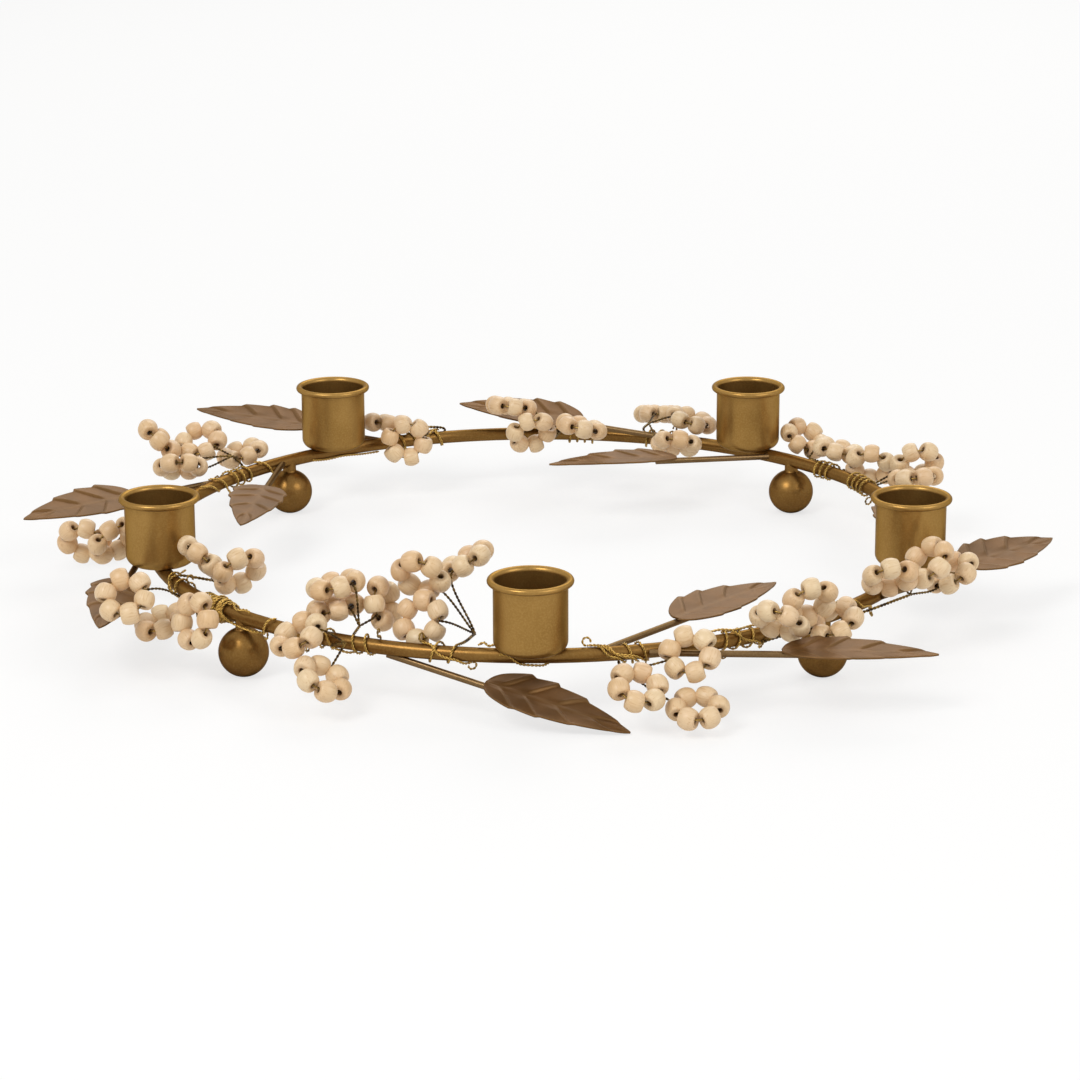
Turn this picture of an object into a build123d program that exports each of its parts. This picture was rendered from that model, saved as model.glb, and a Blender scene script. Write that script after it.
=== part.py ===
# Candle ring: a hoop on four ball feet carries five candle cups, pressed leaves and bead sprigs.
# Millimetres, +Z up. The origin lies on the table under the centre of the hoop, the front cup is at -Y.
# A station is an angle round the hoop in degrees, counter-clockwise from +X, seen from above.
import os
from math import acos, atan2, cos, degrees, hypot, pi, radians, sin, sqrt, tan

from build123d import *

os.makedirs("parts", exist_ok=True)

# Hoop
hoop_diameter = 270.0  # across the bar's centre line
bar_diameter = 4.8

# Ball feet
foot_count = 4
first_foot_station = 45.0
ball_diameter = 16.8
foot_flat_depth = 0.4  # ground off under each ball
neck_diameter = 5.0
neck_length = 1.2  # from the top of the ball to the underside of the bar
neck_fillet = 0.8

# Candle cups
cup_count = 5
first_cup_station = 270.0
candle_diameter = 22.0
candle_clearance = 0.8  # on the diameter
cup_wall = 0.6
cup_floor = 1.0
cup_height = 24.2
cup_corner = 3.5
lip_radius = 1.45  # the mouth flares over this arc into the rolled rim
rim_roll_diameter = 2.1
saddle_depth = 0.4  # the floor is pressed down over the bar by this much

# Leaf blades and their stalks
blade_length = 50.0
blade_width = 20.0
blade_sheet = 0.6
blade_blunt = 0.5  # width left at the tip
blade_heel = 3.0  # width of the rounded end over the stalk
blade_fold = 6.0  # degrees that each half rises from the midrib
blade_droop = 1.5  # fall of the tip below the line of the stalk
vein_ridge = 0.5  # veins stand proud of the lobes between them
vein_notch = 0.7  # the edge is nicked where a vein meets it
vein_roots = (0.10, 0.28, 0.49, 0.70)  # shares of the blade's length along the midrib
vein_ends = (0.20, 0.40, 0.61, 0.82)  # shares of the blade's length at the edge
stalk_diameter = 2.2
stalk_seat = 8.0  # length of stalk brazed under the blade
seat_gap = 0.05

# Each leaf: station of its weld, heading, climb and roll in degrees, length of stalk in front of the blade
leaves = [
    (250, 341, -12, 14, 34),
    (279, 46, 2, 4, 37),
    (286, 358, 0, 2, 42),
    (328, 45, 0, 12, 42),
    (346, 89, 2, 0, 28),
    (49, 196, 2, 1, 38),
    (63, 168, 6, -14, 45),
    (116, 161, 4, -10, 31),
    (137, 265, 1, -6, 38.5),
    (152, 224, 2, -14, 36),
    (187, 267, 0, -4, 42),
]

# Wooden beads and the wire that carries them
bead_diameter = 6.9
bead_length = 5.5
bead_bore = 1.9
bead_face = 3.0  # flat round the bore
bead_gap = 0.3  # between neighbours on a loop
loop_wire = 0.5
branch_wire = 0.7
stem_wire = 0.9
knot_diameter = 1.8  # where the stem forks
branch_overrun = 0.4  # the branch wraps past the loop by this much
wrap_gap = 0.05  # between the wire and the bar that it is wound on

# Each stem: station of its winding, turns, pitch, then the fork and the loops, placed from that station by
# distances along, out from and up from the bar, in bead diameters. A loop also has the way that it faces,
# in degrees from straight outwards, its lean above level, and its number of beads.
sprigs = [
    [
        (282, 2, -4.5, (0, 1.25, -0.5), [
            (0.25, 2.75, -0.75, 15, 60, 6),
            (2.75, 1.75, 0.25, -30, 45, 6),
            (2.5, 3.5, -1.75, -30, 75, 6),
        ]),
    ],
    [
        (303, 3, 5.0, (1, 0.75, 0), [
            (-0.25, 2, 1.25, 120, 45, 6),
            (1.5, 1.75, 1.75, 165, 30, 6),
            (3, 1.75, 0.5, -90, 60, 6),
        ]),
    ],
    [
        (322, 2, 5.0, (2.25, 1.75, 0.25), [
            (0.75, 1.5, 1.5, 135, 45, 6),
            (3, 2.25, 1.75, -120, 45, 6),
            (4.75, 2.75, 0.75, -135, 60, 6),
        ]),
    ],
    [
        (39, 3, 3.0, (1.25, 0.5, 0.25), [
            (2.75, 2, 0.75, -90, 60, 6),
            (0, 1.5, 0.75, -15, 75, 6),
        ]),
        (30, 4, 3.0, (-0.25, 0.5, -0.5), [
            (0.5, 1.5, 0.5, 45, 30, 6),
            (-1.5, 3, 1, 75, 30, 6),
            (-3, 2, 0.75, 90, 75, 6),
        ]),
    ],
    [
        (73, 3, 4.0, (-0.5, -0.5, 1), [
            (-0.25, 2.5, 0.75, 15, 75, 6),
            (-2.5, 1, 1, -60, 75, 6),
            (-3, -2.25, 0.5, 15, 60, 6),
        ]),
    ],
    [
        (86, 4, 3.0, (0.75, -2.5, 0.25), [
            (3.25, -2.5, 2.25, -30, 75, 6),
            (2, -3.5, 1, 15, 30, 6),
            (-1.5, -4, 1.5, -45, 75, 6),
        ]),
    ],
    [
        (106, 4, -5.0, (1.5, 0, 0.75), [
            (3.25, 0.5, 1, -45, 75, 6),
            (3, -1.75, 0.5, -15, 0, 6),
        ]),
    ],
    [
        (144, 3, -4.5, (0.75, 0.5, 1), [
            (2.75, 3.75, 2, -135, 45, 6),
            (0.75, 2.75, 1.5, 105, 60, 6),
            (3.75, 1.75, 1, -60, 60, 6),
            (-1.25, 1.75, 0.5, 45, 75, 6),
        ]),
    ],
    [
        (179, 4, 3.0, (1.25, 1.25, 0.5), [
            (2.25, 3.5, 0.25, -105, 30, 6),
            (3.75, 2, 0.75, -60, 30, 6),
        ]),
    ],
    [
        (206, 2, -5.0, (0.25, -1.75, 0), [
            (0.5, -1.25, 1.25, -180, 45, 6),
            (2.75, -2.25, 1, -90, 30, 6),
        ]),
    ],
    [
        (220, 6, 1.5, (-0.5, 1, 0.25), [
            (-0.5, 5, 1.5, 45, 45, 6),
            (-1.25, 2.5, -0.5, -15, 75, 6),
            (1.25, 2.5, 0.25, 0, 15, 6),
        ]),
    ],
    [
        (242, 2, 4.0, (1, 0.75, 0.25), [
            (-1, 1.5, 0.5, -30, 60, 6),
            (0.75, 2.5, -1, 90, 60, 6),
        ]),
        (245, 2, -4.5, (-0.25, -1, 0.5), [
            (-1.75, -1.25, 2.25, -90, 75, 6),
            (-2, -1.5, 1, -90, 75, 6),
            (0.25, -2.5, 1.25, 90, 15, 5),
        ]),
    ],
    [
        (260, 2, 6.0, (0.25, -3, 0), [
            (-2.75, -2.75, 2.75, -180, 30, 6),
            (-2.25, -1.5, 1, -15, 30, 6),
            (-0.75, -4.75, 3, -90, 60, 6),
        ]),
    ],
]

hoop_radius = hoop_diameter / 2
bar_radius = bar_diameter / 2
hoop_height = ball_diameter - foot_flat_depth + neck_length + bar_radius
up = Vector(0, 0, 1)


def on_hoop(station, out=0.0, rise=0.0):
    """Point beside the bar's centre line, out from it and above it."""
    radius = hoop_radius + out
    angle = radians(station)
    return Vector(radius * cos(angle), radius * sin(angle), hoop_height + rise)


def along_hoop(station):
    """Direction of the bar at a station, counter-clockwise."""
    angle = radians(station)
    return Vector(-sin(angle), cos(angle), 0)


def save(piece, name):
    piece.part.label = name
    export_step(piece.part, f"parts/{name}.step")


# Hoop: one round bar, closed on itself
with BuildPart() as hoop:
    with BuildSketch(Plane.XZ):
        with Locations((hoop_radius, hoop_height)):
            Circle(bar_radius)
    revolve(axis=Axis.Z)
save(hoop, "hoop")

# Candle cup: a drawn shell with a flared mouth and a rolled rim, turned about its own axis
bore_radius = (candle_diameter + candle_clearance) / 2
cup_radius = bore_radius + cup_wall
inner_corner = cup_corner - cup_wall
lip_height = cup_height - lip_radius
rim_radius = bore_radius + lip_radius
roll_height = cup_height - rim_roll_diameter
with BuildPart() as cup:
    with BuildSketch(Plane.XZ):
        with BuildLine():
            Line((0, 0), (cup_radius - cup_corner, 0))
            RadiusArc((cup_radius - cup_corner, 0), (cup_radius, cup_corner), -cup_corner)
            Polyline((cup_radius, cup_corner), (cup_radius, roll_height), (rim_radius, roll_height))
            ThreePointArc(
                (rim_radius, roll_height),
                (rim_radius + rim_roll_diameter / 2, (roll_height + cup_height) / 2),
                (rim_radius, cup_height),
            )
            RadiusArc((rim_radius, cup_height), (bore_radius, lip_height), -lip_radius)
            Line((bore_radius, lip_height), (bore_radius, cup_floor + inner_corner))
            RadiusArc(
                (bore_radius, cup_floor + inner_corner),
                (bore_radius - inner_corner, cup_floor),
                inner_corner,
            )
            Polyline((bore_radius - inner_corner, cup_floor), (0, cup_floor), (0, 0))
        make_face()
    revolve(axis=Axis.Z)

cup_base = bar_radius - saddle_depth
for number in range(cup_count):
    station = first_cup_station + number * 360 / cup_count
    with BuildPart() as seated_cup:
        with Locations(Plane(origin=on_hoop(station, rise=cup_base), x_dir=along_hoop(station), z_dir=up)):
            add(cup.part)
        add(hoop.part, mode=Mode.SUBTRACT)
    save(seated_cup, f"candle_cup_{number + 1}")

# Ball foot: a ball with a ground flat and a short neck that is coped to the bar
ball_radius = ball_diameter / 2
ball_centre = ball_radius - foot_flat_depth
neck_radius = neck_diameter / 2
neck_root = ball_centre + sqrt(ball_radius**2 - neck_radius**2)
with BuildPart() as foot:
    with BuildSketch(Plane.XZ) as foot_section:
        with Locations((0, ball_centre)):
            Circle(ball_radius)
        with Locations((0, hoop_height / 2)):
            Rectangle(neck_diameter, hoop_height)
        with Locations((0, -ball_radius)):
            Rectangle(ball_diameter, 2 * ball_radius, mode=Mode.SUBTRACT)
        with Locations((-ball_radius, hoop_height / 2)):
            Rectangle(2 * ball_radius, 2 * hoop_height, mode=Mode.SUBTRACT)
        necks = foot_section.vertices().filter_by_position(Axis.Y, neck_root - 0.01, neck_root + 0.01)
        fillet(necks, neck_fillet)
    revolve(axis=Axis.Z)

for number in range(foot_count):
    station = first_foot_station + number * 360 / foot_count
    floor_point = on_hoop(station, rise=-hoop_height)
    with BuildPart() as coped_foot:
        with Locations(Plane(origin=floor_point, x_dir=along_hoop(station), z_dir=up)):
            add(foot.part)
        add(hoop.part, mode=Mode.SUBTRACT)
    save(coped_foot, f"ball_foot_{number + 1}")


def half_width(share):
    """Half the blade's width, at a share of its length: full near the heel, drawn out to the tip."""
    return blade_width / 2 * sin(pi * share**0.62) ** 0.85


def droop(share):
    """Fall of the midrib beyond the seat on the stalk."""
    past_seat = max(0.0, share - stalk_seat / blade_length)
    return -blade_droop * past_seat**2


def vein_section(root, end, reach, ridge):
    """Upright cut through the sheet along one vein, from the midrib to the edge."""
    start = Vector(root * blade_length, 0, droop(root))
    run = Vector((end - root) * blade_length, reach, 0)
    rise = reach * tan(radians(blade_fold)) + ridge + droop(end) - droop(root)
    with BuildSketch(Plane(origin=start, x_dir=run, z_dir=run.cross(up))) as section:
        with BuildLine():
            Polyline(
                (0, 0),
                (run.length, rise),
                (run.length, rise + blade_sheet),
                (0, blade_sheet),
                close=True,
            )
        make_face()
    return section.sketch


# Leaf blade: each half is a run of lobes between raised veins, folded at the midrib
with BuildPart() as blade:
    sections = [vein_section(0, 0, blade_heel / 2, 0)]
    earlier_root, earlier_end = 0, 0
    for root, end in zip(vein_roots + (1.0,), vein_ends + (1.0,)):
        lobe_end = (earlier_end + end) / 2
        sections.append(vein_section((earlier_root + root) / 2, lobe_end, half_width(lobe_end), 0))
        if end < 1:
            sections.append(vein_section(root, end, half_width(end) - vein_notch, vein_ridge))
        earlier_root, earlier_end = root, end
    sections.append(vein_section(1, 1, blade_blunt / 2, 0))
    loft(sections, ruled=True)
    mirror(about=Plane.XZ)

stalk_radius = stalk_diameter / 2
for number, (station, heading, climb, roll, stalk_length) in enumerate(leaves, start=1):
    level = Vector(cos(radians(heading)), sin(radians(heading)), 0)
    ahead = level * cos(radians(climb)) + up * sin(radians(climb))
    across = up.cross(level)
    face = ahead.cross(across) * cos(radians(roll)) - across * sin(radians(roll))
    # The stalk starts on the bar's side, the deeper in the more squarely it leaves the bar
    bar_line = along_hoop(station)
    away = ahead - bar_line * ahead.dot(bar_line)
    weld = on_hoop(station) + away.normalized() * bar_radius * (1 - away.length**2)
    with BuildPart() as stalk:
        with BuildSketch(Plane(origin=weld, z_dir=ahead)):
            Circle(stalk_radius)
        extrude(amount=stalk_length + stalk_seat)
        add(hoop.part, mode=Mode.SUBTRACT)
    save(stalk, f"leaf_stalk_{number:02d}")

    heel = weld + ahead * stalk_length + face * (stalk_radius + seat_gap)
    with BuildPart() as leaf:
        with Locations(Plane(origin=heel, x_dir=ahead, z_dir=face)):
            add(blade.part)
    save(leaf, f"leaf_{number:02d}")

# Bead: a wooden barrel with a bore along its own Y axis, so that a ring of them lies along a loop
bead_radius = bead_diameter / 2
face_radius = bead_face / 2
bore = bead_bore / 2
half_bead = bead_length / 2
with BuildPart() as bead:
    with BuildSketch(Plane.XY):
        with BuildLine():
            ThreePointArc((face_radius, half_bead), (bead_radius, 0), (face_radius, -half_bead))
            Polyline(
                (face_radius, -half_bead),
                (bore, -half_bead),
                (bore, half_bead),
                (face_radius, half_bead),
            )
        make_face()
    revolve(axis=Axis.Y)

# The barrel's side is an arc about a point off the bead's axis
arc_offset = (bead_radius**2 - face_radius**2 - half_bead**2) / (2 * (bead_radius - face_radius))
arc_radius = bead_radius - arc_offset


def loop_radius(count):
    """Radius of a loop on which a number of beads stand a bead gap apart."""
    return arc_offset + (arc_radius + bead_gap / 2) / sin(pi / count)


def beside_tie(tie, along, out, rise):
    """Point placed from a winding's station in bead diameters, and its own station."""
    station = tie + degrees(along * bead_diameter / hoop_radius)
    return on_hoop(station, out * bead_diameter, rise * bead_diameter), station


def loop_plane(tie, fork, along, out, rise, facing, lean):
    """Plane of a bead loop, with its X axis towards the fork."""
    centre, station = beside_tie(tie, along, out, rise)
    azimuth = radians(station + facing)
    level = Vector(cos(azimuth), sin(azimuth), 0)
    normal = level * cos(radians(lean)) + up * sin(radians(lean))
    to_fork = fork - centre
    return Plane(origin=centre, x_dir=to_fork - normal * to_fork.dot(normal), z_dir=normal)


def biarc(start, start_way, end, end_way):
    """Draw two arcs that leave start along start_way and reach end along end_way, in one smooth line."""
    chord = end - start
    ways = start_way + end_way
    turn = 2 * (1 - start_way.dot(end_way))
    lean = chord.dot(ways)
    if turn < 1e-6:
        reach = chord.dot(chord) / (2 * lean)
    else:
        reach = (sqrt(lean**2 + turn * chord.dot(chord)) - lean) / turn
    first = start + start_way * reach
    last = end - end_way * reach
    middle = (first + last) / 2
    middle_way = (last - first).normalized()
    for a, b, way in ((start, middle, start_way), (middle, end, middle_way)):
        if (b - a).normalized().cross(way).length < 1e-4:
            Line(a, b)
        else:
            TangentArc(a, b, tangent=way)


stem_radius = stem_wire / 2
wrap_radius = bar_radius + wrap_gap + stem_radius


def wrap_point(tie, pitch, last_angle, turn):
    """Point of a winding on the bar, counted in turns back from its end at turn 0."""
    angle = last_angle + 2 * pi * turn
    station = tie + degrees(turn * pitch / hoop_radius)
    return on_hoop(station, wrap_radius * cos(angle), wrap_radius * sin(angle))


def wrap_way(tie, pitch, last_angle, turn):
    """Direction of the wire at a point of the winding."""
    step = 1e-4
    ahead = wrap_point(tie, pitch, last_angle, turn + step)
    behind = wrap_point(tie, pitch, last_angle, turn - step)
    return (ahead - behind).normalized()


def leaving_angle(tie, fork):
    """Angle round the bar at which a straight wire to the fork leaves it."""
    centre = on_hoop(tie)
    outwards = along_hoop(tie).cross(up)
    out = (fork - centre).dot(outwards)
    rise = (fork - centre).Z
    return atan2(rise, out) - acos(wrap_radius / hypot(out, rise))


def least_winding_gap(tie, turns, pitch, last_angle):
    """Least gap between neighbouring turns of a winding, measured on points."""
    steps = 48
    points = [wrap_point(tie, pitch, last_angle, k / steps - turns) for k in range(turns * steps + 1)]
    apart = [
        (points[i] - points[j]).length
        for i in range(len(points))
        for j in range(i + steps // 2, len(points))
    ]
    return min(apart) - stem_wire


def wire(path, diameter):
    """Sweep a round wire along the path just drawn."""
    with BuildSketch(Plane(origin=path.line @ 0, z_dir=path.line % 0)) as section:
        Circle(diameter / 2)
    sweep(section.sketch, path=path.line)


winding_gaps = []
for number, stems in enumerate(sprigs, start=1):
    with BuildPart() as beads:
        for tie, turns, pitch, fork_place, loops in stems:
            fork, _ = beside_tie(tie, *fork_place)
            for *place, count in loops:
                with Locations(loop_plane(tie, fork, *place)):
                    with PolarLocations(loop_radius(count), count, start_angle=180 / count):
                        add(bead.part)
    save(beads, f"bead_sprig_{number:02d}")

    with BuildPart() as wires:
        for tie, turns, pitch, fork_place, loops in stems:
            fork, _ = beside_tie(tie, *fork_place)
            last_angle = leaving_angle(tie, fork)
            winding_gaps.append(least_winding_gap(tie, turns, pitch, last_angle))
            # Winding and stem are one wire: a straight tail, the turns, then the run to the fork
            with BuildLine() as stem:
                first = wrap_point(tie, pitch, last_angle, -turns)
                first_way = wrap_way(tie, pitch, last_angle, -turns)
                Line(first - first_way * stem_wire, first)
                for quarter in range(-4 * turns, 0):
                    biarc(
                        wrap_point(tie, pitch, last_angle, quarter / 4),
                        wrap_way(tie, pitch, last_angle, quarter / 4),
                        wrap_point(tie, pitch, last_angle, (quarter + 1) / 4),
                        wrap_way(tie, pitch, last_angle, (quarter + 1) / 4),
                    )
                leave = wrap_point(tie, pitch, last_angle, 0)
                biarc(leave, wrap_way(tie, pitch, last_angle, 0), fork, (fork - leave).normalized())
            wire(stem, stem_wire)
            with Locations(Plane(origin=fork, z_dir=stem.line % 1)):
                Sphere(knot_diameter / 2)
            for *place, count in loops:
                plane = loop_plane(tie, fork, *place)
                radius = loop_radius(count)
                mouth = plane.from_local_coords((radius - branch_overrun, 0, 0))
                with BuildLine() as branch:
                    biarc(fork, (mouth - fork).normalized(), mouth, -plane.x_dir)
                wire(branch, branch_wire)
                with Locations(plane):
                    Torus(radius, loop_wire / 2)
    save(wires, f"sprig_wire_{number:02d}")

print(f"least gap between turns of a winding: {min(winding_gaps):.2f} mm")
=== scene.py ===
import bpy
import numpy as np
from mathutils import Matrix, Vector


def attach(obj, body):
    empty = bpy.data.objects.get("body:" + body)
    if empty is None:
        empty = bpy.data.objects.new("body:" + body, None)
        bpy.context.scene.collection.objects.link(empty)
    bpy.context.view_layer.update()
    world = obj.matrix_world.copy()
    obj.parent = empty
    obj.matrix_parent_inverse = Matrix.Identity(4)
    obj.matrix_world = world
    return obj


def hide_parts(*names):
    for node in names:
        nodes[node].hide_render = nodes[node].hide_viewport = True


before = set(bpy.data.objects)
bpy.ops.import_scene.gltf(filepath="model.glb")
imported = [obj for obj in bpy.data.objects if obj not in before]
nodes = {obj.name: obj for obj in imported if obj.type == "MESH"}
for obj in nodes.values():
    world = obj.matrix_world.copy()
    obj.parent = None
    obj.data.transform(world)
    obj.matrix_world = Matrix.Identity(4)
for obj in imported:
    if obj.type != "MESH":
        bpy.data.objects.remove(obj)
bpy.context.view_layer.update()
mm = 0.001
seeded = np.random.default_rng(7)
print("stage: frame loaded,", len(nodes), "nodes")


# small helpers

def colour(code):
    # sRGB hex to linear red, green, blue, alpha
    part = np.array([int(code[k:k + 2], 16) for k in (1, 3, 5)]) / 255
    return tuple(np.where(part < 0.04045, part / 12.92, ((part + 0.055) / 1.055) ** 2.4)) + (1.0,)


def unit(v):
    # the same direction at length one
    return v / np.linalg.norm(v, axis=-1, keepdims=True)


def addNode(tree, kind, inputs=None, **settings):
    # adds one node, sets its settings, and links or sets its inputs by name or number; a Mix of colours
    # takes its share at 0 and the two colours at 6 and 7, and gives the result at output 2
    node = tree.nodes.new(kind)
    for name, value in settings.items():
        setattr(node, name, value)
    for name, value in (inputs or {}).items():
        if isinstance(value, bpy.types.NodeSocket):
            tree.links.new(value, node.inputs[name])
        else:
            node.inputs[name].default_value = value
    return node


def newMaterial(name):
    material = bpy.data.materials.new(name)
    material.use_nodes = True
    material.node_tree.nodes.clear()
    return material, material.node_tree


def closeMaterial(tree, inputs):
    shader = addNode(tree, "ShaderNodeBsdfPrincipled", inputs)
    addNode(tree, "ShaderNodeOutputMaterial", {"Surface": shader.outputs[0]})


def meshPiece(name, grids, material, wrapRows=False, wrapColumns=False, values=None):
    # joins grids of points, each rows x columns x 3 in mm, into one smooth mesh; values go on its points
    points, quads, first = [], [], 0
    for grid in grids:
        index = first + np.arange(grid.shape[0] * grid.shape[1]).reshape(grid.shape[:2])
        down, right = np.roll(index, -1, 0), np.roll(index, -1, 1)
        quad = np.stack([index, right, np.roll(down, -1, 1), down], -1)
        quad = quad if wrapRows else quad[:-1]
        quad = quad if wrapColumns else quad[:, :-1]
        points.append(grid.reshape(-1, 3))
        quads.append(quad.reshape(-1, 4))
        first += index.size
    points, quads = np.concatenate(points) * mm, np.concatenate(quads)
    mesh = bpy.data.meshes.new(name)
    mesh.vertices.add(len(points))
    mesh.vertices.foreach_set("co", points.ravel().astype(np.float32))
    mesh.loops.add(quads.size)
    mesh.loops.foreach_set("vertex_index", quads.ravel().astype(np.int32))
    mesh.polygons.add(len(quads))
    mesh.polygons.foreach_set("loop_start", np.arange(0, quads.size, 4, dtype=np.int32))
    mesh.polygons.foreach_set("use_smooth", np.ones(len(quads), dtype=bool))
    for key, data in (values or {}).items():
        kind = "FLOAT_VECTOR" if data.ndim == 2 else "FLOAT"
        layer = mesh.attributes.new(key, kind, "POINT")
        layer.data.foreach_set("vector" if data.ndim == 2 else "value", data.ravel().astype(np.float32))
    mesh.update(calc_edges=True)
    mesh.validate()
    piece = bpy.data.objects.new(name, mesh)
    bpy.context.scene.collection.objects.link(piece)
    mesh.materials.append(material)
    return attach(piece, "root")


# gold paint: sizes in mm; the flake is drawn coarser than it really is, so that it shows in the render

goldCoat = {"cloud": 14.0, "cloudFrom": 0.3, "cloudTo": 0.7, "smoothest": 0.28, "roughest": 0.36,
            "flake": 0.6, "flakeFrom": 0.42, "flakeTo": 0.72, "glints": 0.3, "peel": 0.16, "peelDepth": 0.05,
            "metallic": 0.8, "slantTint": "#B4A691"}


def antiqueGold(name, dark, light, glint):
    # matt antique-gold metallic paint on steel: fine flake, faint cloudiness, slight orange peel, and a
    # greyer sheen at a slant
    material, tree = newMaterial(name)
    place = addNode(tree, "ShaderNodeTexCoord").outputs["Object"]
    cloud = addNode(tree, "ShaderNodeTexNoise",
                    {"Vector": place, "Scale": 1 / (goldCoat["cloud"] * mm), "Detail": 3.0})
    flake = addNode(tree, "ShaderNodeTexNoise",
                    {"Vector": place, "Scale": 1 / (goldCoat["flake"] * mm), "Detail": 3.0})
    cloudy = addNode(tree, "ShaderNodeMapRange",
                     {"Value": cloud.outputs[0], "From Min": goldCoat["cloudFrom"],
                      "From Max": goldCoat["cloudTo"]})
    flaky = addNode(tree, "ShaderNodeMapRange",
                    {"Value": flake.outputs[0], "From Min": goldCoat["flakeFrom"],
                     "From Max": goldCoat["flakeTo"], "To Max": goldCoat["glints"]})
    tone = addNode(tree, "ShaderNodeMix", {0: cloudy.outputs[0], 6: colour(dark), 7: colour(light)},
                   data_type="RGBA")
    bright = addNode(tree, "ShaderNodeMix", {0: flaky.outputs[0], 6: tone.outputs[2], 7: colour(glint)},
                     data_type="RGBA")
    rough = addNode(tree, "ShaderNodeMapRange",
                    {"Value": cloud.outputs[0], "From Min": goldCoat["cloudFrom"],
                     "From Max": goldCoat["cloudTo"], "To Min": goldCoat["smoothest"],
                     "To Max": goldCoat["roughest"]})
    bump = addNode(tree, "ShaderNodeBump", {"Height": flake.outputs[0], "Strength": goldCoat["peel"],
                                            "Distance": goldCoat["peelDepth"] * mm})
    closeMaterial(tree, {"Base Color": bright.outputs[2], "Metallic": goldCoat["metallic"],
                         "Roughness": rough.outputs[0], "Specular Tint": colour(goldCoat["slantTint"]),
                         "Normal": bump.outputs[0]})
    return material


# leaf lacquer: sizes in mm; its grit is drawn coarser than it really is, so that it shows in the render

leafCoat = {"cloud": 9.0, "cloudFrom": 0.35, "cloudTo": 0.65, "dark": "#5C3F20", "light": "#6B4A28",
            "wearAndHighlight": 0.2, "wearAndHighlightTint": "#9A7A50", "grit": 0.4, "gritRelief": 0.1, "gritDepth": 0.05,
            "metallic": 0.35, "roughness": 0.42, "shine": 0.2, "shineTint": "#FFE9CC"}


def bronzeLeaf():
    # brown bronze lacquer on pressed sheet: partly metallic, faintly cloudy, a little lighter on the veins,
    # midrib, rim and tip, partly wear and partly a painted highlight on the raised veins and midrib
    material, tree = newMaterial("brown bronze leaf lacquer")
    place = addNode(tree, "ShaderNodeTexCoord").outputs["Object"]
    vein = addNode(tree, "ShaderNodeAttribute", attribute_name="veinWearAndHighlight").outputs["Fac"]
    cloud = addNode(tree, "ShaderNodeTexNoise",
                    {"Vector": place, "Scale": 1 / (leafCoat["cloud"] * mm), "Detail": 4.0})
    grit = addNode(tree, "ShaderNodeTexNoise",
                   {"Vector": place, "Scale": 1 / (leafCoat["grit"] * mm), "Detail": 2.0})
    cloudy = addNode(tree, "ShaderNodeMapRange",
                     {"Value": cloud.outputs[0], "From Min": leafCoat["cloudFrom"],
                      "From Max": leafCoat["cloudTo"]})
    # painted highlight and wear: the veins, midrib, rim and tip are painted a little lighter
    wearAndHighlight = addNode(tree, "ShaderNodeMapRange", {"Value": vein, "To Max": leafCoat["wearAndHighlight"]})
    tone = addNode(tree, "ShaderNodeMix", {0: cloudy.outputs[0], 6: colour(leafCoat["dark"]),
                                           7: colour(leafCoat["light"])}, data_type="RGBA")
    bright = addNode(tree, "ShaderNodeMix", {0: wearAndHighlight.outputs[0], 6: tone.outputs[2],
                                             7: colour(leafCoat["wearAndHighlightTint"])}, data_type="RGBA")
    bump = addNode(tree, "ShaderNodeBump", {"Height": grit.outputs[0], "Strength": leafCoat["gritRelief"],
                                            "Distance": leafCoat["gritDepth"] * mm})
    closeMaterial(tree, {"Base Color": bright.outputs[2], "Metallic": leafCoat["metallic"],
                         "Roughness": leafCoat["roughness"], "Specular IOR Level": leafCoat["shine"],
                         "Specular Tint": colour(leafCoat["shineTint"]), "Normal": bump.outputs[0]})
    return material


# bead wood: sizes in mm, as beadPlace is; the fibres are drawn wider than they really are, so that they show

beadFinish = {"fibre": 0.55, "alongFibre": 0.12, "streakFrom": 0.52, "streakTo": 0.70, "streaks": 0.5,
              "blotch": 22.0, "rosyFrom": 0.45, "rosyTo": 0.7, "rosy": 0.35, "pale": "#E2CAA3",
              "honey": "#D6B081", "rosyTint": "#DCB48E", "streakTint": "#C09767", "burntAndShadeTint": "#7C5634",
              "relief": 0.12, "reliefDepth": 0.08, "roughness": 0.38, "shine": 0.5}


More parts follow.
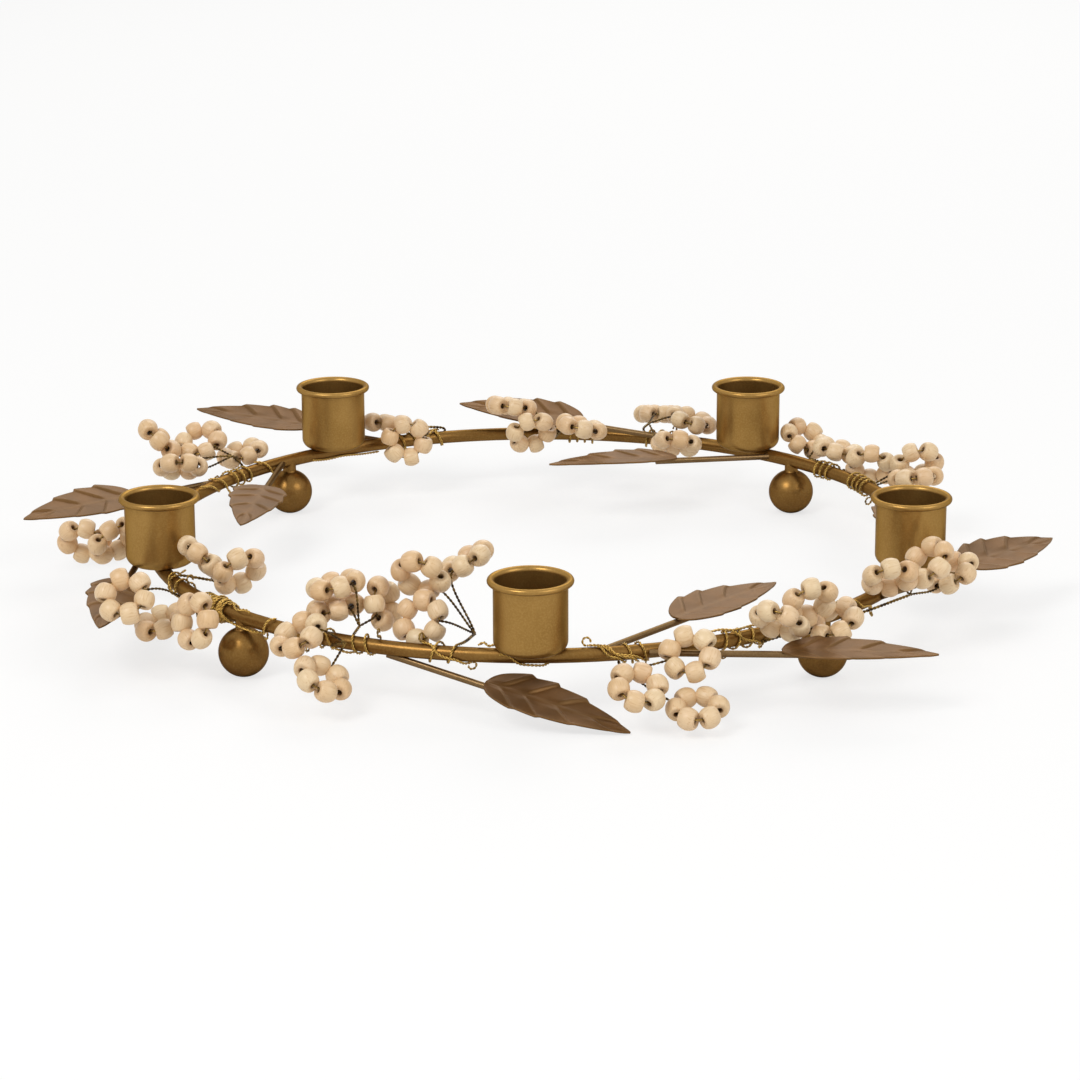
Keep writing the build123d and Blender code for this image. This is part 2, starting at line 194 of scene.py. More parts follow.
def bareWood():
    # pale turned wood: long fibres along the bead, a tone of its own for each bead, and a dark bore that is
    # partly scorched wood and partly painted shade in the hole and round its lip
    material, tree = newMaterial("bare pale turned wood")
    place = addNode(tree, "ShaderNodeAttribute", attribute_name="beadPlace").outputs["Vector"]
    tint = addNode(tree, "ShaderNodeAttribute", attribute_name="beadTone").outputs["Fac"]
    bore = addNode(tree, "ShaderNodeAttribute", attribute_name="beadBore").outputs["Fac"]
    drawn = addNode(tree, "ShaderNodeVectorMath", {0: place, 1: (1.0, 1.0, beadFinish["alongFibre"])},
                    operation="MULTIPLY")
    fibre = addNode(tree, "ShaderNodeTexNoise",
                    {"Vector": drawn.outputs[0], "Scale": 1 / beadFinish["fibre"], "Detail": 3.0})
    streak = addNode(tree, "ShaderNodeMapRange",
                     {"Value": fibre.outputs[0], "From Min": beadFinish["streakFrom"],
                      "From Max": beadFinish["streakTo"], "To Max": beadFinish["streaks"]})
    tone = addNode(tree, "ShaderNodeMix", {0: tint, 6: colour(beadFinish["pale"]),
                                           7: colour(beadFinish["honey"])}, data_type="RGBA")
    blotch = addNode(tree, "ShaderNodeTexNoise",
                     {"Vector": place, "Scale": 1 / beadFinish["blotch"], "Detail": 1.0})
    rosy = addNode(tree, "ShaderNodeMapRange",
                   {"Value": blotch.outputs[0], "From Min": beadFinish["rosyFrom"],
                    "From Max": beadFinish["rosyTo"], "To Max": beadFinish["rosy"]})
    warm = addNode(tree, "ShaderNodeMix", {0: rosy.outputs[0], 6: tone.outputs[2],
                                           7: colour(beadFinish["rosyTint"])}, data_type="RGBA")
    grain = addNode(tree, "ShaderNodeMix", {0: streak.outputs[0], 6: warm.outputs[2],
                                            7: colour(beadFinish["streakTint"])}, data_type="RGBA")
    # scorched wood and painted shade: the bore and its lip are painted darker
    burntAndShade = addNode(tree, "ShaderNodeMix", {0: bore, 6: grain.outputs[2],
                                            7: colour(beadFinish["burntAndShadeTint"])}, data_type="RGBA")
    bump = addNode(tree, "ShaderNodeBump", {"Height": fibre.outputs[0], "Strength": beadFinish["relief"],
                                            "Distance": beadFinish["reliefDepth"] * mm})
    closeMaterial(tree, {"Base Color": burntAndShade.outputs[2], "Roughness": beadFinish["roughness"],
                         "Specular IOR Level": beadFinish["shine"], "Normal": bump.outputs[0]})
    return material


# wire brass: patches in mm

wireFinish = {"patch": 2.5, "dullFrom": 0.55, "dullTo": 1.05, "bright": "#BE9A50", "dull": "#3F2E17",
              "metallic": 0.85, "roughness": 0.33}


def craftWire():
    # thin brass-coated craft wire, bright where it is wound on the bar and dulled brown along the stems
    material, tree = newMaterial("dulled brass craft wire")
    place = addNode(tree, "ShaderNodeTexCoord").outputs["Object"]
    worn = addNode(tree, "ShaderNodeAttribute", attribute_name="wireDull").outputs["Fac"]
    patch = addNode(tree, "ShaderNodeTexNoise",
                    {"Vector": place, "Scale": 1 / (wireFinish["patch"] * mm), "Detail": 3.0})
    both = addNode(tree, "ShaderNodeMath", {0: patch.outputs[0], 1: worn}, operation="ADD")
    dull = addNode(tree, "ShaderNodeMapRange",
                   {"Value": both.outputs[0], "From Min": wireFinish["dullFrom"],
                    "From Max": wireFinish["dullTo"]})
    tone = addNode(tree, "ShaderNodeMix", {0: dull.outputs[0], 6: colour(wireFinish["bright"]),
                                           7: colour(wireFinish["dull"])}, data_type="RGBA")
    closeMaterial(tree, {"Base Color": tone.outputs[2], "Metallic": wireFinish["metallic"],
                         "Roughness": wireFinish["roughness"]})
    return material


cupPaint = antiqueGold("antique gold metallic paint", "#906D38", "#A07C44", "#BC9858")
# the bar and the feet share a darker copy of the gold paint; on the feet this darkening is painted shade,
# standing in for dark reflections
barPaint = antiqueGold("antique gold metallic paint, darker copy with painted shade", "#704F26", "#815F2F", "#9C7D48")
stalkPaint = antiqueGold("antique gold metallic paint, browner coat", "#6A5233", "#7A6142", "#937A58")
leafPaint, beadWood, brassWire = bronzeLeaf(), bareWood(), craftWire()
print("stage: materials made")

# the hoop, cups, feet and stalks keep their solids and get the paint
solidPaint = {"hoop": barPaint, "candle_cup": cupPaint, "ball_foot": barPaint, "leaf_stalk": stalkPaint}
for name, node in nodes.items():
    for kind, paint in solidPaint.items():
        if name.startswith(kind):
            for holder in node.material_slots:
                holder.material = paint
print("stage: solids painted")


# places on the ring, in mm, as the solids have them

ring = {"radius": 135.0, "height": 20.0, "bar": 2.4}


def onHoop(station, out=0.0, rise=0.0):
    # a place by the bar: station in degrees round the ring, out and rise in mm from the bar's centre line
    turn = np.radians(station)
    radius = ring["radius"] + out
    place = np.broadcast_arrays(radius * np.cos(turn), radius * np.sin(turn), ring["height"] + rise)
    return np.stack(place, -1)


def alongHoop(station):
    # the way the bar runs at a station
    turn = np.radians(station)
    return np.stack(np.broadcast_arrays(-np.sin(turn), np.cos(turn), 0.0), -1)


# leaves: a folded blade whose fields step down like shingles past raised veins

# sizes in mm, fold in degrees; veins, slant and droopFrom are shares of the length, and step, creaseWidth and
# creaseBack shares of the way from vein to vein
leaf = {"length": 50.0, "width": 20.0, "sheet": 0.6, "stalkRadius": 1.1, "seat": 0.05,
        "heelRound": 0.62, "fullness": 0.85, "fold": 6.0, "droop": 1.5, "droopFrom": 0.16,
        "veins": (-0.16, 0.11, 0.28, 0.50, 0.75, 0.97, 1.2), "slant": 0.17, "veinBow": 1.2,
        "climb": 1.3, "step": 0.18, "lobe": 0.14, "lobeLevel": 0.55, "pillow": 0.72, "pillowLevel": 0.4,
        "crease": 0.30, "creaseWidth": 0.07, "creaseBack": 0.06, "edgeCalm": 0.7,
        "midrib": 0.15, "midribWidth": 0.8, "midribWearAndHighlight": 0.5, "edgeWear": 0.8,
        "endGap": 0.002, "edgeCrowd": 0.9, "rows": 150, "columns": 61}
# station, heading, climb, roll in degrees, stalk length in mm; fitted to the photograph, rounded, and some
# then changed
leafPlaces = [
    (250, 341, -12, 14, 34), (279, 46, 2, 4, 37), (286, 358, 0, 2, 42), (328, 45, 0, 12, 42),
    (346, 89, 2, 0, 28), (49, 196, 2, 1, 38), (63, 168, 6, -14, 45), (116, 161, 4, -10, 31),
    (137, 265, 1, -6, 38.5), (152, 224, 2, -14, 36), (187, 267, 0, -4, 42)]


def shingle(phase):
    # climbs from 0 as a power of the share of the way to the next vein, then falls to 0 in a short step
    share = phase % 1
    return np.minimum(share ** leaf["climb"], (1 - share) / leaf["step"])


def leafBlade():
    # blade over f from heel to tip and t from edge to edge; its half width is width / 2 times
    # sin(pi f^heelRound)^fullness, swelling to a lobe before each vein meets the edge; veins leave the midrib
    # at set places and lean forward with |t|; height is the V fold, less a droop that grows as f squared past
    # the seat, plus fields that climb towards the tip and step down past each vein like shingles, with a thin
    # raised crease just before each vein and a low ridge along the midrib
    f = np.linspace(leaf["endGap"], 1 - leaf["endGap"], leaf["rows"])[:, None]
    t = np.linspace(-1, 1, leaf["columns"])[None, :]
    t = np.sign(t) * np.abs(t) ** leaf["edgeCrowd"]  # columns stand a little closer near the edges
    number = np.arange(len(leaf["veins"]))
    phase = np.interp(f - leaf["slant"] * np.abs(t) ** leaf["veinBow"], leaf["veins"], number)
    edgePhase = np.interp(f - leaf["slant"], leaf["veins"], number)
    lobed = np.clip(6 * (1 - f), 0, 1) * np.clip(9 * f - 0.5, 0, 1)  # no lobes at the heel and the tip
    half = leaf["width"] / 2 * np.sin(np.pi * f ** leaf["heelRound"]) ** leaf["fullness"]
    half = half * (1 + leaf["lobe"] * (shingle(edgePhase) - leaf["lobeLevel"]) * lobed)
    y = half * t
    relief = np.clip(half / 5, 0, 1) * np.clip(np.abs(t) * 3, 0, 1)  # fades at the ends and by the midrib
    fromVein = phase - np.round(phase) + leaf["creaseBack"]
    vein = np.exp(-(fromVein / leaf["creaseWidth"]) ** 2) * relief
    midrib = np.exp(-(y / leaf["midribWidth"]) ** 2)
    pressed = leaf["pillow"] * (shingle(phase) - leaf["pillowLevel"]) * relief + leaf["crease"] * vein
    droop = leaf["droop"] * np.clip(f - leaf["droopFrom"], 0, None) ** 2
    x = leaf["length"] * f + 0 * t
    z = (np.abs(y) * np.tan(np.radians(leaf["fold"])) - droop + pressed * (1 - leaf["edgeCalm"] * t ** 4)
         + leaf["midrib"] * midrib)
    rim = leaf["edgeWear"] * np.abs(t) ** 16
    tip = np.clip(10 * f - 9.2, 0, 1)
    lift = np.clip(vein + leaf["midribWearAndHighlight"] * midrib + rim + tip, 0, 1)  # what is worn most, and where a painted highlight goes on the raised veins and midrib
    return np.stack([x, y, z], -1), lift


blade, veinWearAndHighlight = leafBlade()
for number, (station, heading, climb, roll, stalk) in enumerate(leafPlaces, 1):
    h, c, r = np.radians([heading, climb, roll])
    level = np.array([np.cos(h), np.sin(h), 0])
    up = np.array([0, 0, 1.0])
    bar = alongHoop(station)
    ahead = level * np.cos(c) + up * np.sin(c)
    across = np.cross(up, level)
    face = np.cross(ahead, across) * np.cos(r) - across * np.sin(r)
    side = np.cross(face, ahead)
    clear = ahead - bar * (ahead @ bar)
    weld = onHoop(station) + unit(clear) * ring["bar"] * (1 - clear @ clear)
    heel = weld + ahead * stalk + face * (leaf["stalkRadius"] + leaf["seat"] + leaf["sheet"] / 2)
    placed = heel + blade @ np.stack([ahead, side, face])
    piece = meshPiece(f"leafBlade.{number:02d}", [placed], leafPaint, values={"veinWearAndHighlight": veinWearAndHighlight.ravel()})
    thick = piece.modifiers.new("sheet", "SOLIDIFY")
    thick.thickness, thick.offset = leaf["sheet"] * mm, 0.0
    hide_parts(f"leaf_{number:02d}")
print("stage: leaves", len(leafPlaces))


# sprigs: places of ties, forks and bead loops, in bead diameters from the tie, as the solids have them

# sizes in mm; tilt, spread, smallest and largest are shares; wobbleRate in radians for each mm, phases in
# radians, about a whole turn; tones are the two shape values of a beta spread
bead = {"diameter": 6.9, "length": 5.5, "bore": 1.9, "gap": 0.3,
        "arcOffset": 0.536, "arcRadius": 2.914,  # the side is an arc about a point off the bead's axis
        "tilt": 0.05, "spread": 0.035, "smallest": -0.08, "largest": 0.05, "wobble": 0.10, "wobbleRate": 0.8,
        "phases": 6, "tones": (1.6, 2.2), "grainShift": 60, "around": 8, "rounding": 2}
# each stem: station, turns, pitch in mm, fork, loops of (along, out, up, facing, lean, beads); forks and
# loops were fitted to the photograph, rounded to quarters of a bead and 15 degrees, and some then changed
sprigs = [
    [(282, 2, -4.5, (0, 1.25, -0.5), [(0.25, 2.75, -0.75, 15, 60, 6), (2.75, 1.75, 0.25, -30, 45, 6),
                                      (2.5, 3.5, -1.75, -30, 75, 6)])],
    [(303, 3, 5.0, (1, 0.75, 0), [(-0.25, 2, 1.25, 120, 45, 6), (1.5, 1.75, 1.75, 165, 30, 6),
                                  (3, 1.75, 0.5, -90, 60, 6)])],
    [(322, 2, 5.0, (2.25, 1.75, 0.25), [(0.75, 1.5, 1.5, 135, 45, 6), (3, 2.25, 1.75, -120, 45, 6),
                                        (4.75, 2.75, 0.75, -135, 60, 6)])],
    [(39, 3, 3.0, (1.25, 0.5, 0.25), [(2.75, 2, 0.75, -90, 60, 6), (0, 1.5, 0.75, -15, 75, 6)]),
     (30, 4, 3.0, (-0.25, 0.5, -0.5), [(0.5, 1.5, 0.5, 45, 30, 6), (-1.5, 3, 1, 75, 30, 6),
                                       (-3, 2, 0.75, 90, 75, 6)])],
    [(73, 3, 4.0, (-0.5, -0.5, 1), [(-0.25, 2.5, 0.75, 15, 75, 6), (-2.5, 1, 1, -60, 75, 6),
                                    (-3, -2.25, 0.5, 15, 60, 6)])],
    [(86, 4, 3.0, (0.75, -2.5, 0.25), [(3.25, -2.5, 2.25, -30, 75, 6), (2, -3.5, 1, 15, 30, 6),
                                       (-1.5, -4, 1.5, -45, 75, 6)])],
    [(106, 4, -5.0, (1.5, 0, 0.75), [(3.25, 0.5, 1, -45, 75, 6), (3, -1.75, 0.5, -15, 0, 6)])],
    [(144, 3, -4.5, (0.75, 0.5, 1), [(2.75, 3.75, 2, -135, 45, 6), (0.75, 2.75, 1.5, 105, 60, 6),
                                    (3.75, 1.75, 1, -60, 60, 6), (-1.25, 1.75, 0.5, 45, 75, 6)])],
    [(179, 4, 3.0, (1.25, 1.25, 0.5), [(2.25, 3.5, 0.25, -105, 30, 6), (3.75, 2, 0.75, -60, 30, 6)])],
    [(206, 2, -5.0, (0.25, -1.75, 0), [(0.5, -1.25, 1.25, -180, 45, 6), (2.75, -2.25, 1, -90, 30, 6)])],
    [(220, 6, 1.5, (-0.5, 1, 0.25), [(-0.5, 5, 1.5, 45, 45, 6), (-1.25, 2.5, -0.5, -15, 75, 6),
                                     (1.25, 2.5, 0.25, 0, 15, 6)])],
    [(242, 2, 4.0, (1, 0.75, 0.25), [(-1, 1.5, 0.5, -30, 60, 6), (0.75, 2.5, -1, 90, 60, 6)]),
     (245, 2, -4.5, (-0.25, -1, 0.5), [(-1.75, -1.25, 2.25, -90, 75, 6), (-2, -1.5, 1, -90, 75, 6),
                                       (0.25, -2.5, 1.25, 90, 15, 5)])],
    [(260, 2, 6.0, (0.25, -3, 0), [(-2.75, -2.75, 2.75, -180, 30, 6), (-2.25, -1.5, 1, -15, 30, 6),
                                   (-0.75, -4.75, 3, -90, 60, 6)])]]


def besideTie(tie, along, out, up):
    # the place so many bead diameters along, out from and up from the bar at the tie, and its station
    station = tie + np.degrees(along * bead["diameter"] / ring["radius"])
    return onHoop(station, out * bead["diameter"], up * bead["diameter"]), station


def loopFrame(tie, fork, loop):
    # centre, axis towards the fork, second axis, normal and radius of one bead loop; the radius lets the
    # beads' round sides pass each other with the gap between
    centre, station = besideTie(tie, *loop[:3])
    azimuth, lean = np.radians([station + loop[3], loop[4]])
    normal = np.array([np.cos(azimuth) * np.cos(lean), np.sin(azimuth) * np.cos(lean), np.sin(lean)])
    first = unit((fork - centre) - normal * ((fork - centre) @ normal))
    radius = bead["arcOffset"] + (bead["arcRadius"] + bead["gap"] / 2) / np.sin(np.pi / loop[5])
    return centre, first, np.cross(normal, first), normal, radius


# beads: a turned barrel with a bore, one small cage for each, rounded by subdivision

# each row of the closed profile: its radius as a share of half the size named, its height as a share of half
# the length, how dark it is painted (scorched wood plus painted shade in the bore), how crisp it stays; the
# bore, its lip, the face's rim, the belly and back again
beadRows = [
    ("bore", 1.00, -0.50, 1.00, 0.00), ("bore", 1.00, 0.50, 1.00, 0.00), ("bore", 1.08, 0.98, 0.25, 0.75),
    ("diameter", 0.76, 1.07, 0.00, 0.30), ("diameter", 1.05, 0.42, 0.00, 0.00),
    ("diameter", 1.05, -0.42, 0.00, 0.00), ("diameter", 0.76, -1.07, 0.00, 0.30),
    ("bore", 1.08, -0.98, 0.25, 0.75)]


def beadCage():
    # the profile turned round the z axis, clockwise so that the faces point outwards; subdivision draws a
    # ring of n points in to (2 + cos(360 / n)) / 3 of its radius, so the cage stands that much proud
    turn = -2 * np.pi * np.arange(bead["around"]) / bead["around"]
    drawnIn = (2 + np.cos(turn[1])) / 3
    radius = np.array([row[1] * bead[row[0]] / 2 for row in beadRows])[:, None] / drawnIn
    height = np.array([row[2] for row in beadRows])[:, None] * bead["length"] / 2
    burntAndShade = np.array([row[3] for row in beadRows])
    grid = np.stack(np.broadcast_arrays(radius * np.cos(turn), radius * np.sin(turn), height), -1)
    return grid, np.repeat(burntAndShade, bead["around"])


def creaseRims(mesh):
    # keeps the lips of the bores and the rims of the end faces crisp under subdivision
    ends = np.empty(2 * len(mesh.edges), dtype=np.int32)
    mesh.edges.foreach_get("vertices", ends)
    rowAt = ends.reshape(-1, 2) % (len(beadRows) * bead["around"]) // bead["around"]
    crisp = np.array([row[4] for row in beadRows])
    crease = np.where(rowAt[:, 0] == rowAt[:, 1], crisp[rowAt[:, 0]], 0)
    layer = mesh.attributes.new("crease_edge", "FLOAT", "EDGE")
    layer.data.foreach_set("value", crease.astype(np.float32))


cage, burntAndShadeRows = beadCage()
for number, stems in enumerate(sprigs, 1):
    centres, axes = [], []
    for tie, turns, pitch, forkAt, loops in stems:
        fork = besideTie(tie, *forkAt)[0]
        for loop in loops:
            centre, first, second, normal, radius = loopFrame(tie, fork, loop)
            turn = (np.arange(loop[5]) + 0.5) * 2 * np.pi / loop[5]
            centres.append(centre + radius * (np.outer(np.cos(turn), first) + np.outer(np.sin(turn), second)))
            axes.append(-np.outer(np.sin(turn), first) + np.outer(np.cos(turn), second))
    centres, axes = np.concatenate(centres), np.concatenate(axes)
    count = len(centres)
    # each bead has its own slight tilt, turn on its wire, size, squash, unevenness, tone and grain
    axes = unit(axes + seeded.normal(0, bead["tilt"], (count, 3)))
    crossed = unit(np.cross(axes, unit(seeded.normal(0, 1, (count, 3)))))
    basis = np.stack([crossed, np.cross(axes, crossed), axes], 1)
    change = seeded.normal(0, bead["spread"], (count, 1, 3))
    local = cage.reshape(1, -1, 3) * (1 + np.clip(change, bead["smallest"], bead["largest"]))
    phase = seeded.uniform(0, bead["phases"], (count, 1, 3))
    local = local + bead["wobble"] * np.sin(local[:, :, [1, 2, 0]] * bead["wobbleRate"] + phase)
    points = centres[:, None, :] + np.einsum("npk,nkj->npj", local, basis)
    tone = np.repeat(seeded.beta(*bead["tones"], count), local.shape[1])
    grainAt = local + seeded.uniform(-bead["grainShift"], bead["grainShift"], (count, 1, 3))
    values = {"beadPlace": grainAt.reshape(-1, 3), "beadTone": tone, "beadBore": np.tile(burntAndShadeRows, count)}
    grids = list(points.reshape(count, *cage.shape))
    piece = meshPiece(f"sprigBeads.{number:02d}", grids, beadWood, True, True, values)
    creaseRims(piece.data)
    rounding = piece.modifiers.new("rounding", "SUBSURF")
    rounding.levels = rounding.render_levels = bead["rounding"]
    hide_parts(f"bead_sprig_{number:02d}")
print("stage: beads", sum(loop[5] for stems in sprigs for stem in stems for loop in stem[4]))


# sprig wires: two thin strands twisted together, wound on the bar, forked and run through the beads

# sizes in mm; spread is from the middle of the pair to each strand, and twist is the length of one turn;
# stemSpread, branchSpread and cutSpread are shares of spread, cutThin of thin and wanderAlong of a run;
# curlTurn and mouth in radians, slackRate in radians for each turn, wanderRound in degrees
wire = {"strand": 0.27, "thin": 0.22, "loop": 0.28, "spread": 0.24, "stemSpread": 1.1, "branchSpread": 0.9,
        "twist": 2.6, "pair": 0.45, "gap": 0.05, "slack": 0.25, "slackRate": 5.1,
        "curl": 1.3, "curlTurn": 1.6 * np.pi, "cutThin": 0.9, "cutSpread": 0.8, "mouth": 0.02,
        "wanderAlong": 0.03, "wanderRound": 10, "sides": 7, "step": 0.22, "pathPoints": 60,
        "curlPoints": 40, "loopPoints": 120, "weld": 0.001}
wrapRadius = ring["bar"] + wire["gap"] + wire["pair"]
# how dull each run of wire is
wear = {"winding": 0.15, "cut": 0.25, "stem": 0.45, "branch": 0.5, "loop": 0.3, "loose": 0.05,
        "looseCut": 0.1}
# sprig, stations from and to, angles from and to round the bar, lift in mm, curled end
looseWire = [
    (1, 277.6, 286.5, 105, -75, 0.3, "first"), (1, 278.2, 283.2, 95, -80, 0.5, ""),
    (1, 279.0, 284.8, 80, -60, 0.8, ""),
    (2, 294.0, 303.5, 105, 75, 1.3, ""), (2, 297.0, 304.0, 110, -100, 0.5, "last"),
    (3, 319.8, 325.5, 75, -60, 0.5, "last"),
    (7, 114.5, 106.8, 100, 960, 0.8, ""), (7, 107.0, 114.2, 60, 330, 1.2, "last"),
    (7, 131.0, 118.0, 205, 250, 0.2, ""),
    (8, 158.5, 153.5, 110, 205, 1.0, ""), (8, 154.3, 150.6, 70, 240, 0.5, "last"),
    (8, 142.5, 139.2, 70, 240, 0.4, ""),
    (10, 204.0, 208.0, 150, -60, 0.6, "first"),
    (11, 217.3, 222.8, 40, -1700, 0.7, ""), (11, 222.6, 217.6, 80, 1500, 1.0, ""),
    (11, 218.0, 222.0, 140, -900, 1.6, ""), (11, 220.5, 229.8, -10, -95, 0.5, ""),
    (11, 219.8, 229.6, 20, -88, 0.9, ""), (11, 229.5, 232.0, -100, 100, 0.7, "first"),
    (11, 222.3, 227.2, 75, 55, 1.9, ""),
    (12, 240.0, 246.0, 70, -140, 0.5, "last"),
    (13, 255.0, 262.2, 95, -95, 0.3, "last"), (13, 262.8, 265.8, 95, 75, 1.6, ""),
    (13, 265.8, 272.6, 25, -105, 0.3, "")]


def bentPath(start, startWay, end, endWay):
    # cubic between two points with given directions, as fast at the ends as the chord is long
    s = np.linspace(0, 1, wire["pathPoints"])[:, None]
    pull = np.linalg.norm(end - start)
    return ((2 * s ** 3 - 3 * s ** 2 + 1) * start + (s ** 3 - 2 * s ** 2 + s) * startWay * pull
            + (3 * s ** 2 - 2 * s ** 3) * end + (s ** 3 - s ** 2) * endWay * pull)


def evenSteps(path):
    # the same path in even steps, with at least 8 points, and the length of wire up to each
    length = np.concatenate([[0], np.cumsum(np.linalg.norm(np.diff(path, axis=0), axis=1))])
    even = np.linspace(0, length[-1], max(8, int(length[-1] / wire["step"])))
    return np.stack([np.interp(even, length, path[:, k]) for k in range(3)], -1), even


def squareTo(way, out):
    # out, made square to the way of the wire, and the direction square to both
    out = unit(out - way * np.sum(out * way, 1, keepdims=True))
    return out, np.cross(way, out)


def tube(path, radius, out):
    # ring of sides round each point of the path, in the plane of out and its partner; closed at both ends
    out, other = squareTo(unit(np.gradient(path, axis=0)), out)
    turn = 2 * np.pi * np.arange(wire["sides"]) / wire["sides"]
    taper = np.full(len(path), radius)
    taper[[0, -1]] = 0.0  # each end runs to a point
    return (path[:, None] + taper[:, None, None] * (np.cos(turn)[None, :, None] * out[:, None]
                                                    + np.sin(turn)[None, :, None] * other[:, None]))


def twisted(path, out, strand, spread):
    # two strands half a turn apart, each on a screw line of given radius and twist round the path
    points, length = evenSteps(path)
    guide = np.stack([np.interp(np.linspace(0, 1, len(points)), np.linspace(0, 1, len(out)), out[:, k])
                      for k in range(3)], -1)
    guide, other = squareTo(unit(np.gradient(points, axis=0)), guide)
    made = []
    for shift in (0, np.pi):
        turn = (shift + 2 * np.pi * length / wire["twist"])[:, None]
        line = points + spread * (np.cos(turn) * guide + np.sin(turn) * other)
        made.append(tube(line, strand, guide))
    return made


def bendSide(path):
    # a direction square to the plane in which the path bends, or to a path that is nearly straight
    first, last = unit(path[1] - path[0]), unit(path[-1] - path[-2])
    plane = np.cross(first, last)
    if np.linalg.norm(plane) < 0.05:
        plane = np.cross(first, (0, 0, 1)) + 0.01
    return np.repeat(unit(plane)[None], len(path), 0)


def wrapPoint(tie, pitch, leaving, turn):
    # screw line round the bar that reaches the tie at turn 0, at the angle where the stem leaves
    angle = leaving + 2 * np.pi * turn
    station = tie + np.degrees(turn * pitch / ring["radius"])
    return onHoop(station, wrapRadius * np.cos(angle), wrapRadius * np.sin(angle))


def curledEnd(point, way, off):
    # a cut end bent over into a small open ring that stands off the bar
    bend = np.linspace(0, wire["curlTurn"], wire["curlPoints"])[:, None]
    path = point + wire["curl"] * (np.sin(bend) * way + (1 - np.cos(bend)) * off)
    return twisted(path, bendSide(path), wire["thin"] * wire["cutThin"], wire["spread"] * wire["cutSpread"])


def looseRun(start, end, angleStart, angleEnd, lift):
    # wire laid loosely round the bar: station and angle go evenly with a little wander, and it lifts off most
    # midway; wander is a sine that swings faster the more the wire winds
    sweep = abs(angleEnd - angleStart)
    s = np.linspace(0, 1, int(wire["pathPoints"] + sweep / 3))
    wander = np.sin(2 * np.pi * s * (1.3 + sweep / 400))
    station = start + (end - start) * (s + wire["wanderAlong"] * wander)
    angle = np.radians(angleStart + (angleEnd - angleStart) * s + wire["wanderRound"] * wander)
    radius = ring["bar"] + wire["pair"] + lift * (0.25 + 0.75 * np.sin(np.pi * s)) * (0.75 + 0.25 * wander)
    path = onHoop(station, radius * np.cos(angle), radius * np.sin(angle))
    return path, path - onHoop(station)


for number, stems in enumerate(sprigs, 1):
    strands = []  # grids of points, each with its wear
    for tie, turns, pitch, forkAt, loops in stems:
        fork = besideTie(tie, *forkAt)[0]
        outward = np.cross(alongHoop(tie), (0, 0, 1))
        reach, rise = (fork - onHoop(tie)) @ outward, fork[2] - ring["height"]
        leaving = np.arctan2(rise, reach) - np.arccos(wrapRadius / np.hypot(reach, rise))
        turn = np.linspace(-turns, 0, turns * wire["pathPoints"])
        winding = wrapPoint(tie, pitch, leaving, turn)
        radial = unit(winding - onHoop(tie + np.degrees(turn * pitch / ring["radius"])))
        slack = wire["slack"] * (1 + np.sin(wire["slackRate"] * turn + number))
        slack = slack * np.clip(-3 * turn, 0, 1)  # tight where the stem leaves
        winding = winding + slack[:, None] * radial
        strands.append((twisted(winding, radial, wire["thin"], wire["spread"]), "winding"))
        strands.append((curledEnd(winding[0], unit(winding[0] - winding[1]), radial[0]), "cut"))
        stem = bentPath(winding[-1], unit(winding[-1] - winding[-2]), fork, unit(fork - winding[-1]))
        stemSpread = wire["spread"] * wire["stemSpread"]
        strands.append((twisted(stem, bendSide(stem), wire["strand"], stemSpread), "stem"))
        for loop in loops:
            centre, first, second, normal, radius = loopFrame(tie, fork, loop)
            mouth = centre + radius * first
            branch = bentPath(fork, unit(mouth - fork), mouth, -first)
            branchSpread = wire["spread"] * wire["branchSpread"]
            strands.append((twisted(branch, bendSide(branch), wire["thin"], branchSpread), "branch"))
            bend = np.linspace(wire["mouth"], 2 * np.pi - wire["mouth"], wire["loopPoints"])[:, None]
            circle = centre + radius * (np.cos(bend) * first + np.sin(bend) * second)
            strands.append(([tube(circle, wire["loop"], np.repeat(normal[None], len(circle), 0))], "loop"))
    for owner, start, end, angleStart, angleEnd, lift, curlAt in looseWire:
        if owner == number:
            path, radial = looseRun(start, end, angleStart, angleEnd, lift)
            strands.append((twisted(path, radial, wire["thin"], wire["spread"]), "loose"))
            if curlAt:
                path, radial = (path, radial) if curlAt == "last" else (path[::-1], radial[::-1])
                made = curledEnd(path[-1], unit(path[-1] - path[-2]), unit(radial[-1]))
                strands.append((made, "looseCut"))
    grids = [grid for made, use in strands for grid in made]
    dull = np.concatenate([np.full(grid.shape[0] * grid.shape[1], wear[use])
                           for made, use in strands for grid in made])
    piece = meshPiece(f"sprigWire.{number:02d}", grids, brassWire, wrapColumns=True,
                      values={"wireDull": dull})
    tips = piece.modifiers.new("tips", "WELD")  # joins the points of each pointed end
    tips.merge_threshold = wire["weld"] * mm
    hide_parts(f"sprig_wire_{number:02d}")
print("stage: wires", len(sprigs))


# floor, light and camera

tableTop = {"half": 6, "paint": "#F6F5F3", "plain": 0.7}  # half its width in m


def paleFloor():
    # matt white table top; to the camera most of it is plain white, so the object's shadow stays but is soft
    material, tree = newMaterial("plain white table top")
    matt = addNode(tree, "ShaderNodeBsdfDiffuse", {"Color": colour(tableTop["paint"]), "Roughness": 0.0})
    white = addNode(tree, "ShaderNodeEmission", {"Color": (1, 1, 1, 1), "Strength": 1.0})
    ray = addNode(tree, "ShaderNodeLightPath")
    share = addNode(tree, "ShaderNodeMath", {0: ray.outputs["Is Camera Ray"], 1: tableTop["plain"]},
                    operation="MULTIPLY")
    mixed = addNode(tree, "ShaderNodeMixShader",
                    {0: share.outputs[0], 1: matt.outputs[0], 2: white.outputs[0]})
    addNode(tree, "ShaderNodeOutputMaterial", {"Surface": mixed.outputs[0]})
    return material


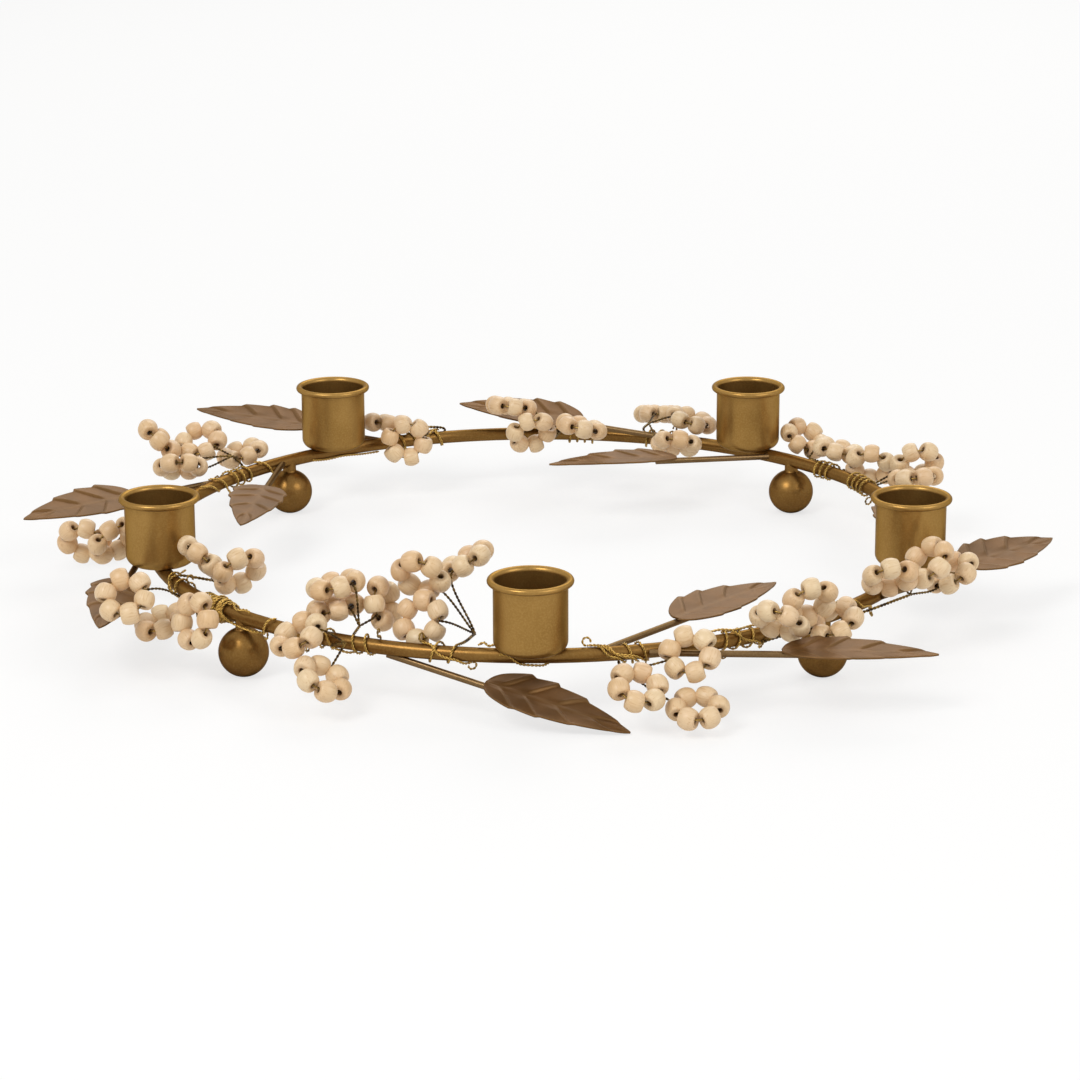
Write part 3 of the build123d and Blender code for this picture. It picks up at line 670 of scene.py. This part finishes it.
half = tableTop["half"]
floorMesh = bpy.data.meshes.new("floor")
floorMesh.from_pydata([(-half, -half, 0), (half, -half, 0), (half, half, 0), (-half, half, 0)], [],
                      [(0, 1, 2, 3)])
floorMesh.materials.append(paleFloor())
floor = bpy.data.objects.new("floor", floorMesh)
bpy.context.scene.collection.objects.link(floor)

studio = {"sky": 0.52, "aim": (0, 0, 0.02), "lamps": [  # place in m, size in m, power in W
    ("keyLamp", (-0.9, -1.1, 1.5), 0.9, 16.5), ("fillLamp", (1.2, -0.9, 1.1), 1.0, 8.0),
    ("backLamp", (0.2, 1.5, 1.3), 1.2, 9.0)]}
for name, place, size, power in studio["lamps"]:
    light = bpy.data.lights.new(name, "AREA")
    light.shape, light.size, light.energy = "DISK", size, power
    lamp = bpy.data.objects.new(name, light)
    aim = (Vector(studio["aim"]) - Vector(place)).to_track_quat("-Z", "Y")
    lamp.matrix_world = Matrix.Translation(place) @ aim.to_matrix().to_4x4()
    bpy.context.scene.collection.objects.link(lamp)

# the sky is full white to the camera and in reflections, and dimmer as a light; a Mix of plain numbers
# takes its share at 0 and the two numbers at 2 and 3
world = bpy.data.worlds.new("white studio")
world.use_nodes = True
sky = world.node_tree
sky.nodes.clear()
ray = addNode(sky, "ShaderNodeLightPath")
mirrored = addNode(sky, "ShaderNodeMath", {0: ray.outputs["Is Glossy Ray"],
                                           1: ray.outputs["Is Transmission Ray"]}, operation="MAXIMUM")
either = addNode(sky, "ShaderNodeMath", {0: ray.outputs["Is Camera Ray"], 1: mirrored.outputs[0]},
                 operation="MAXIMUM")
seen = addNode(sky, "ShaderNodeMix", {0: either.outputs[0], 2: studio["sky"], 3: 1.0})
glow = addNode(sky, "ShaderNodeBackground", {"Color": (1, 1, 1, 1), "Strength": seen.outputs[0]})
addNode(sky, "ShaderNodeOutputWorld", {"Surface": glow.outputs[0]})
bpy.context.scene.world = world
bpy.context.scene.view_settings.view_transform = "Standard"

# place, target, sensor and lens in mm, roll in degrees, all but the sensor fitted to the photograph; nearest
# and farthest in m
view = {"place": (18.02, -1205.98, 384.1), "target": (1.177, 0.016, 17.509), "roll": -0.211,
        "sensor": 36.0, "lens": 118.47, "nearest": 0.05, "farthest": 50.0}
cameraData = bpy.data.cameras.new("camera")
cameraData.sensor_width, cameraData.lens = view["sensor"], view["lens"]
cameraData.clip_start, cameraData.clip_end = view["nearest"], view["farthest"]
camera = bpy.data.objects.new("camera", cameraData)
place, target = Vector(view["place"]) * mm, Vector(view["target"]) * mm
aim = (target - place).to_track_quat("-Z", "Y")
camera.matrix_world = (Matrix.Translation(place) @ aim.to_matrix().to_4x4()
                       @ Matrix.Rotation(np.radians(view["roll"]), 4, "Z"))
bpy.context.scene.collection.objects.link(camera)
bpy.context.scene.camera = camera
print("stage: floor, light and camera")
